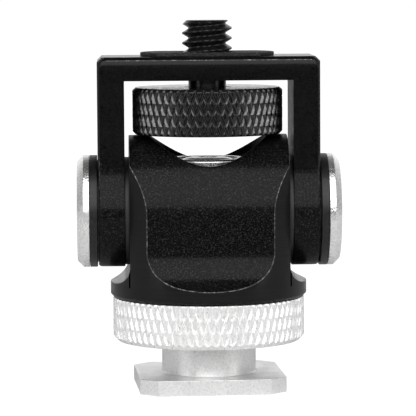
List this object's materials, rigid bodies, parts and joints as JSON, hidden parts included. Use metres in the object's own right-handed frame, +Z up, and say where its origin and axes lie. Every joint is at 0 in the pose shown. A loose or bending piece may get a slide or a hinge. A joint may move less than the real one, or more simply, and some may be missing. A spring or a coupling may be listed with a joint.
{
  "type": "shoe-mount swivel and tilt bracket",
  "caption": "Small accessory bracket: a shoe foot with a knurled lock ring, a turning barrel body, a tilting U-shaped yoke and a captive thumb screw with a threaded stud on top.",
  "frame": {"origin": "centre of the shoe foot's underside, on the swivel axis", "axes": "+Z up along the swivel axis and the camera screw, +X along the tilt axis to the right cap, +Y towards the back; the shoe's rails run along Y, turned 3 degrees anticlockwise from above, which is where the foot stands on its swivel at rest"},
  "size_m": [0.0334, 0.025, 0.0468],
  "materials": {
    "black_anodised": "bead-blasted, black anodised, satin",
    "black_turned": "turned and milled, black anodised, satin",
    "silver_anodised": "bead-blasted, clear anodised, bright",
    "bright_steel": "zinc plated, bright",
    "black_steel": "black oxide, oiled",
    "rubber_black": "fine-grained matte rubber",
    "nylon_black": "moulded, matte",
    "bronze": "machined"
  },
  "bodies": {
    "foot": {"shoe_foot": "silver_anodised", "swivel_bolt": "bright_steel", "swivel_cup_washer": "bright_steel", "swivel_disc_spring": "bright_steel", "swivel_flat_washer": "bright_steel", "swivel_friction_washer": "nylon_black"},
    "slip_pad": {"ring_pad": "nylon_black"},
    "ring": {"lock_ring": "silver_anodised"},
    "swivel": {"swivel_body": "black_turned", "left_tilt_screw": "black_steel", "right_tilt_screw": "black_steel", "left_end_cap": "silver_anodised", "right_end_cap": "silver_anodised", "left_disc_spring": "bright_steel", "right_disc_spring": "bright_steel", "left_spacer_ring": "black_turned", "right_spacer_ring": "black_turned", "left_thrust_washer": "bright_steel", "right_thrust_washer": "bright_steel", "left_inner_friction_washer": "nylon_black", "right_inner_friction_washer": "nylon_black"},
    "tilt_head": {"yoke": "black_anodised", "top_pad": "rubber_black", "left_tilt_bush": "bronze", "right_tilt_bush": "bronze"},
    "clip": {"retaining_clip": "bright_steel"},
    "thumb_screw": {"thumb_wheel": "black_anodised", "camera_screw": "black_steel"}
  },
  "joints": [
    {"name": "swivel_turn", "type": "hinge", "parent": "foot", "child": "swivel", "pos_m": [0, 0, 0.01172], "axis": [0, 0, 1], "continuous": true},
    {"name": "tilt", "type": "hinge", "parent": "swivel", "child": "tilt_head", "pos_m": [0, 0, 0.02262], "axis": [1, 0, 0], "range_deg": [-75, 75]},
    {"name": "ring_travel", "type": "slide", "parent": "foot", "child": "slip_pad", "axis": [0, 0, 1], "range_m": [-0.0029, 0]},
    {"name": "ring_turn", "type": "hinge", "parent": "slip_pad", "child": "ring", "pos_m": [0, 0, 0.0061], "axis": [0, 0, 1], "range_deg": [-835.3, 0]},
    {"name": "thumb_lift", "type": "slide", "parent": "tilt_head", "child": "clip", "axis": [0, 0, 1], "range_m": [0, 0.0009]},
    {"name": "thumb_turn", "type": "hinge", "parent": "clip", "child": "thumb_screw", "pos_m": [0, 0, 0.03832], "axis": [0, 0, 1], "continuous": true}
  ],
  "couplings": [
    {"joint": "ring_turn", "follows": "ring_travel", "rad_per_m": 5026.5}
  ]
}
